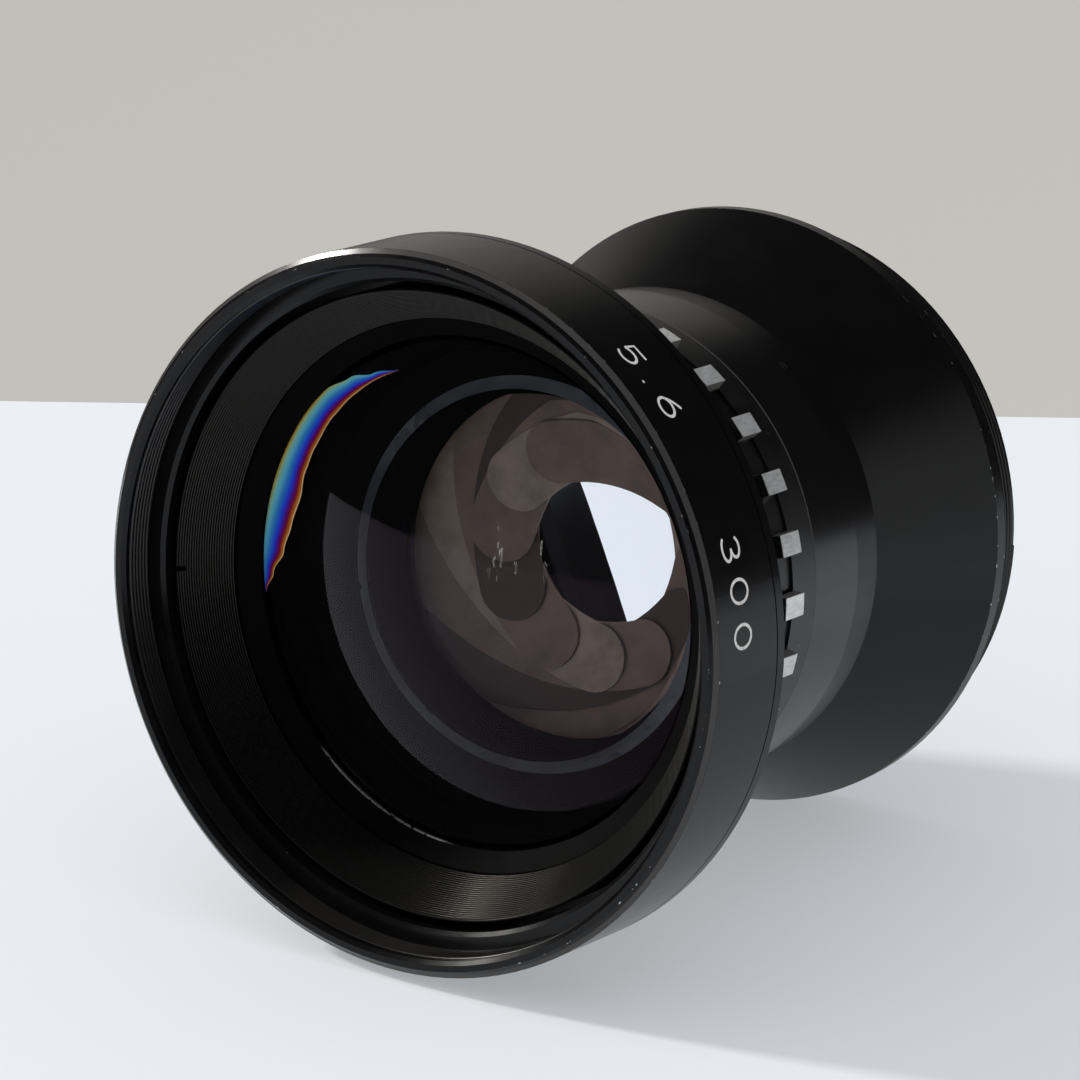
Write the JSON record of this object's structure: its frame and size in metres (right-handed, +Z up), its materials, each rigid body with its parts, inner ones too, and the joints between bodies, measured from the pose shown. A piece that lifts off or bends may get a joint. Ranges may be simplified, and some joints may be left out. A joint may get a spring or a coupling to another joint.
{
  "type": "large-format camera lens in barrel mount",
  "caption": "Long view-camera lens in a black barrel mount with a cogged aperture ring, a working blade iris and a flared rear flange, lying on its side.",
  "frame": {"origin": "on the table, under the middle of the lens's box as it lies on its side", "axes": "+Y along the lens from front to rear, as near as its dip allows, +Z up, +X to the right seen from the front glass's side"},
  "size_m": [0.11, 0.1118, 0.1111],
  "materials": {
    "black_anodised": "satin black anodised aluminium with worn edges",
    "matt_black": "matt black lacquer on aluminium",
    "bare_aluminium": "satin turned aluminium on the cogs' faces, black anodised elsewhere",
    "coated_glass": "polished optical glass with an amber and blue single coating",
    "blade_steel": "blackened spring steel, brownish and slightly glossy",
    "brass": "dull turned brass",
    "steel": "plain steel, worn slot"
  },
  "bodies": {
    "lens_body": {"front_ring": "black_anodised", "baffle_ring": "black_anodised", "front_retaining_ring": "matt_black", "front_outer_element": "coated_glass", "front_cemented_element": "coated_glass", "front_spacer": "matt_black", "front_inner_element": "coated_glass", "front_cell": "black_anodised", "main_barrel": "black_anodised", "iris_base_ring": "matt_black", "iris_keeper_ring": "matt_black", "rear_flange": "black_anodised", "flange_grub_screws": "steel", "rear_cell": "black_anodised", "rear_inner_element": "coated_glass", "rear_spacer": "matt_black", "rear_cemented_element": "coated_glass", "rear_outer_element": "coated_glass", "rear_retaining_ring": "matt_black"},
    "aperture_control": {"aperture_ring": "bare_aluminium", "aperture_ring_screw": "steel", "iris_cam_ring": "brass"},
    "blade_01": {"iris_blade_01": "blade_steel"},
    "blade_02": {"iris_blade_02": "blade_steel"},
    "blade_03": {"iris_blade_03": "blade_steel"},
    "blade_04": {"iris_blade_04": "blade_steel"},
    "blade_05": {"iris_blade_05": "blade_steel"},
    "blade_06": {"iris_blade_06": "blade_steel"},
    "blade_07": {"iris_blade_07": "blade_steel"},
    "blade_08": {"iris_blade_08": "blade_steel"},
    "blade_09": {"iris_blade_09": "blade_steel"},
    "blade_10": {"iris_blade_10": "blade_steel"},
    "blade_11": {"iris_blade_11": "blade_steel"},
    "blade_12": {"iris_blade_12": "blade_steel"}
  },
  "joints": [
    {"name": "aperture_turn", "type": "hinge", "parent": "lens_body", "child": "aperture_control", "pos_m": [0, -0.00419, 0.05232], "axis": [0, -0.9963, 0.0865], "range_deg": [-33, 12]},
    {"name": "blade_01_swing", "type": "hinge", "parent": "lens_body", "child": "blade_01", "pos_m": [0.0348, -0.00668, 0.05254], "axis": [0, -0.9963, 0.0865], "range_deg": [-21.5, 7.85]},
    {"name": "blade_02_swing", "type": "hinge", "parent": "lens_body", "child": "blade_02", "pos_m": [0.03014, -0.00517, 0.06987], "axis": [0, -0.9963, 0.0865], "range_deg": [-21.5, 7.85]},
    {"name": "blade_03_swing", "type": "hinge", "parent": "lens_body", "child": "blade_03", "pos_m": [0.0174, -0.00407, 0.08256], "axis": [0, -0.9963, 0.0865], "range_deg": [-21.5, 7.85]},
    {"name": "blade_04_swing", "type": "hinge", "parent": "lens_body", "child": "blade_04", "pos_m": [0, -0.00367, 0.08721], "axis": [0, -0.9963, 0.0865], "range_deg": [-21.5, 7.85]},
    {"name": "blade_05_swing", "type": "hinge", "parent": "lens_body", "child": "blade_05", "pos_m": [-0.0174, -0.00407, 0.08256], "axis": [0, -0.9963, 0.0865], "range_deg": [-21.5, 7.85]},
    {"name": "blade_06_swing", "type": "hinge", "parent": "lens_body", "child": "blade_06", "pos_m": [-0.03014, -0.00517, 0.06987], "axis": [0, -0.9963, 0.0865], "range_deg": [-21.5, 7.85]},
    {"name": "blade_07_swing", "type": "hinge", "parent": "lens_body", "child": "blade_07", "pos_m": [-0.0348, -0.00668, 0.05254], "axis": [0, -0.9963, 0.0865], "range_deg": [-21.5, 7.85]},
    {"name": "blade_08_swing", "type": "hinge", "parent": "lens_body", "child": "blade_08", "pos_m": [-0.03014, -0.00819, 0.0352], "axis": [0, -0.9963, 0.0865], "range_deg": [-21.5, 7.85]},
    {"name": "blade_09_swing", "type": "hinge", "parent": "lens_body", "child": "blade_09", "pos_m": [-0.0174, -0.00929, 0.02251], "axis": [0, -0.9963, 0.0865], "range_deg": [-21.5, 7.85]},
    {"name": "blade_10_swing", "type": "hinge", "parent": "lens_body", "child": "blade_10", "pos_m": [0, -0.00969, 0.01787], "axis": [0, -0.9963, 0.0865], "range_deg": [-21.5, 7.85]},
    {"name": "blade_11_swing", "type": "hinge", "parent": "lens_body", "child": "blade_11", "pos_m": [0.0174, -0.00929, 0.02251], "axis": [0, -0.9963, 0.0865], "range_deg": [-21.5, 7.85]},
    {"name": "blade_12_swing", "type": "hinge", "parent": "lens_body", "child": "blade_12", "pos_m": [0.03014, -0.00819, 0.0352], "axis": [0, -0.9963, 0.0865], "range_deg": [-21.5, 7.85]}
  ],
  "couplings": [
    {"joint": "blade_01_swing", "follows": "aperture_turn", "ratio": 0.65},
    {"joint": "blade_02_swing", "follows": "aperture_turn", "ratio": 0.65},
    {"joint": "blade_03_swing", "follows": "aperture_turn", "ratio": 0.65},
    {"joint": "blade_04_swing", "follows": "aperture_turn", "ratio": 0.65},
    {"joint": "blade_05_swing", "follows": "aperture_turn", "ratio": 0.65},
    {"joint": "blade_06_swing", "follows": "aperture_turn", "ratio": 0.65},
    {"joint": "blade_07_swing", "follows": "aperture_turn", "ratio": 0.65},
    {"joint": "blade_08_swing", "follows": "aperture_turn", "ratio": 0.65},
    {"joint": "blade_09_swing", "follows": "aperture_turn", "ratio": 0.65},
    {"joint": "blade_10_swing", "follows": "aperture_turn", "ratio": 0.65},
    {"joint": "blade_11_swing", "follows": "aperture_turn", "ratio": 0.65},
    {"joint": "blade_12_swing", "follows": "aperture_turn", "ratio": 0.65}
  ]
}
